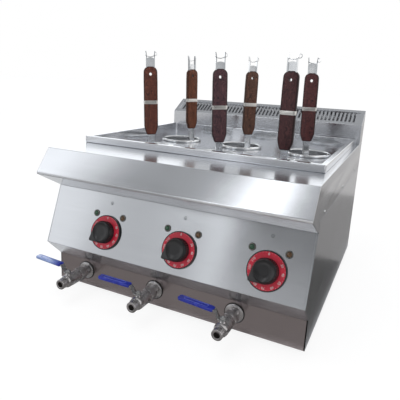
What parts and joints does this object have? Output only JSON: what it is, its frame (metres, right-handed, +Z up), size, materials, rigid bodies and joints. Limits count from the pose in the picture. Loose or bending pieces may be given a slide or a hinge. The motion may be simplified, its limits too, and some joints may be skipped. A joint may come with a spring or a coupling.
{
  "type": "pasta cooker",
  "caption": "Counter-top electric pasta cooker: steel cabinet with water wells, lift-out baskets on wooden handles, turning controls, lamps and drain valves with levers.",
  "frame": {"origin": "middle of the base pan's underside, above the feet", "axes": "+Z up, -Y towards the user at the front, +X to the user's right"},
  "size_m": [0.6197, 0.739, 0.5706],
  "materials": {
    "brushed_steel": "brushed along the width",
    "heater_steel": "dull, heat tinted",
    "valve_steel": "plated, slightly dull",
    "grip_wood": "oiled dark red hardwood",
    "knob_black": "black cap on a red numbered dial",
    "lever_blue": "dipped vinyl",
    "lamp_green": "tinted lens",
    "lamp_amber": "tinted lens",
    "foot_rubber": "matt",
    "control_plastic": "moulded",
    "gland_plastic": "moulded"
  },
  "bodies": {
    "cabinet": {"base_pan": "brushed_steel", "left_side_panel": "brushed_steel", "right_side_panel": "brushed_steel", "back_panel": "brushed_steel", "front_apron": "brushed_steel", "control_panel": "brushed_steel", "worktop": "brushed_steel", "basin_rim": "brushed_steel", "basket_deck": "brushed_steel", "tank_left": "brushed_steel", "tank_middle": "brushed_steel", "tank_right": "brushed_steel", "heater_left": "heater_steel", "heater_middle": "heater_steel", "heater_right": "heater_steel", "drain_pipe_left": "valve_steel", "drain_pipe_middle": "valve_steel", "drain_pipe_right": "valve_steel", "drain_valve_left": "valve_steel", "drain_valve_middle": "valve_steel", "drain_valve_right": "valve_steel", "thermostat_left": "control_plastic", "thermostat_middle": "control_plastic", "thermostat_right": "control_plastic", "lamp_power_left": "lamp_green", "lamp_power_middle": "lamp_green", "lamp_power_right": "lamp_green", "lamp_heat_left": "lamp_amber", "lamp_heat_middle": "lamp_amber", "lamp_heat_right": "lamp_amber", "flue_riser": "brushed_steel", "flue_grille": "brushed_steel", "cable_gland": "gland_plastic", "terminal_block": "control_plastic", "foot_front_left": "foot_rubber", "foot_front_right": "foot_rubber", "foot_rear_left": "foot_rubber", "foot_rear_right": "foot_rubber"},
    "left_knob": {"knob_left": "knob_black"},
    "middle_knob": {"knob_middle": "knob_black"},
    "right_knob": {"knob_right": "knob_black"},
    "left_drain_lever": {"valve_lever_left": "valve_steel", "lever_sleeve_left": "lever_blue"},
    "middle_drain_lever": {"valve_lever_middle": "valve_steel", "lever_sleeve_middle": "lever_blue"},
    "right_drain_lever": {"valve_lever_right": "valve_steel", "lever_sleeve_right": "lever_blue"},
    "front_left_basket": {"basket_front_left": "brushed_steel", "grip_front_left": "grip_wood"},
    "front_middle_basket": {"basket_front_middle": "brushed_steel", "grip_front_middle": "grip_wood"},
    "front_right_basket": {"basket_front_right": "brushed_steel", "grip_front_right": "grip_wood"},
    "rear_left_basket": {"basket_rear_left": "brushed_steel", "grip_rear_left": "grip_wood"},
    "rear_middle_basket": {"basket_rear_middle": "brushed_steel", "grip_rear_middle": "grip_wood"},
    "rear_right_basket": {"basket_rear_right": "brushed_steel", "grip_rear_right": "grip_wood"}
  },
  "joints": [
    {"name": "left_knob_turn", "type": "hinge", "parent": "cabinet", "child": "left_knob", "pos_m": [-0.143, -0.30591, 0.15613], "axis": [0, 0.9361, -0.3518], "range_deg": [0, 270]},
    {"name": "middle_knob_turn", "type": "hinge", "parent": "cabinet", "child": "middle_knob", "pos_m": [0.039, -0.30591, 0.15613], "axis": [0, 0.9361, -0.3518], "range_deg": [0, 270]},
    {"name": "right_knob_turn", "type": "hinge", "parent": "cabinet", "child": "right_knob", "pos_m": [0.221, -0.30591, 0.15613], "axis": [0, 0.9361, -0.3518], "range_deg": [0, 270]},
    {"name": "left_lever_turn", "type": "hinge", "parent": "cabinet", "child": "left_drain_lever", "pos_m": [-0.22, -0.344, 0.037], "axis": [0, 0, 1], "range_deg": [0, 95]},
    {"name": "middle_lever_turn", "type": "hinge", "parent": "cabinet", "child": "middle_drain_lever", "pos_m": [-0.032, -0.344, 0.037], "axis": [0, 0, 1], "range_deg": [0, 90]},
    {"name": "right_lever_turn", "type": "hinge", "parent": "cabinet", "child": "right_drain_lever", "pos_m": [0.156, -0.344, 0.037], "axis": [0, 0, 1], "range_deg": [0, 96]},
    {"name": "front_left_lift", "type": "slide", "parent": "cabinet", "child": "front_left_basket", "axis": [0, 0, 1], "range_m": [0, 0.2]},
    {"name": "front_middle_lift", "type": "slide", "parent": "cabinet", "child": "front_middle_basket", "axis": [0, 0, 1], "range_m": [0, 0.2]},
    {"name": "front_right_lift", "type": "slide", "parent": "cabinet", "child": "front_right_basket", "axis": [0, 0, 1], "range_m": [0, 0.2]},
    {"name": "rear_left_lift", "type": "slide", "parent": "cabinet", "child": "rear_left_basket", "axis": [0, 0, 1], "range_m": [0, 0.2]},
    {"name": "rear_middle_lift", "type": "slide", "parent": "cabinet", "child": "rear_middle_basket", "axis": [0, 0, 1], "range_m": [0, 0.2]},
    {"name": "rear_right_lift", "type": "slide", "parent": "cabinet", "child": "rear_right_basket", "axis": [0, 0, 1], "range_m": [0, 0.2]}
  ]
}
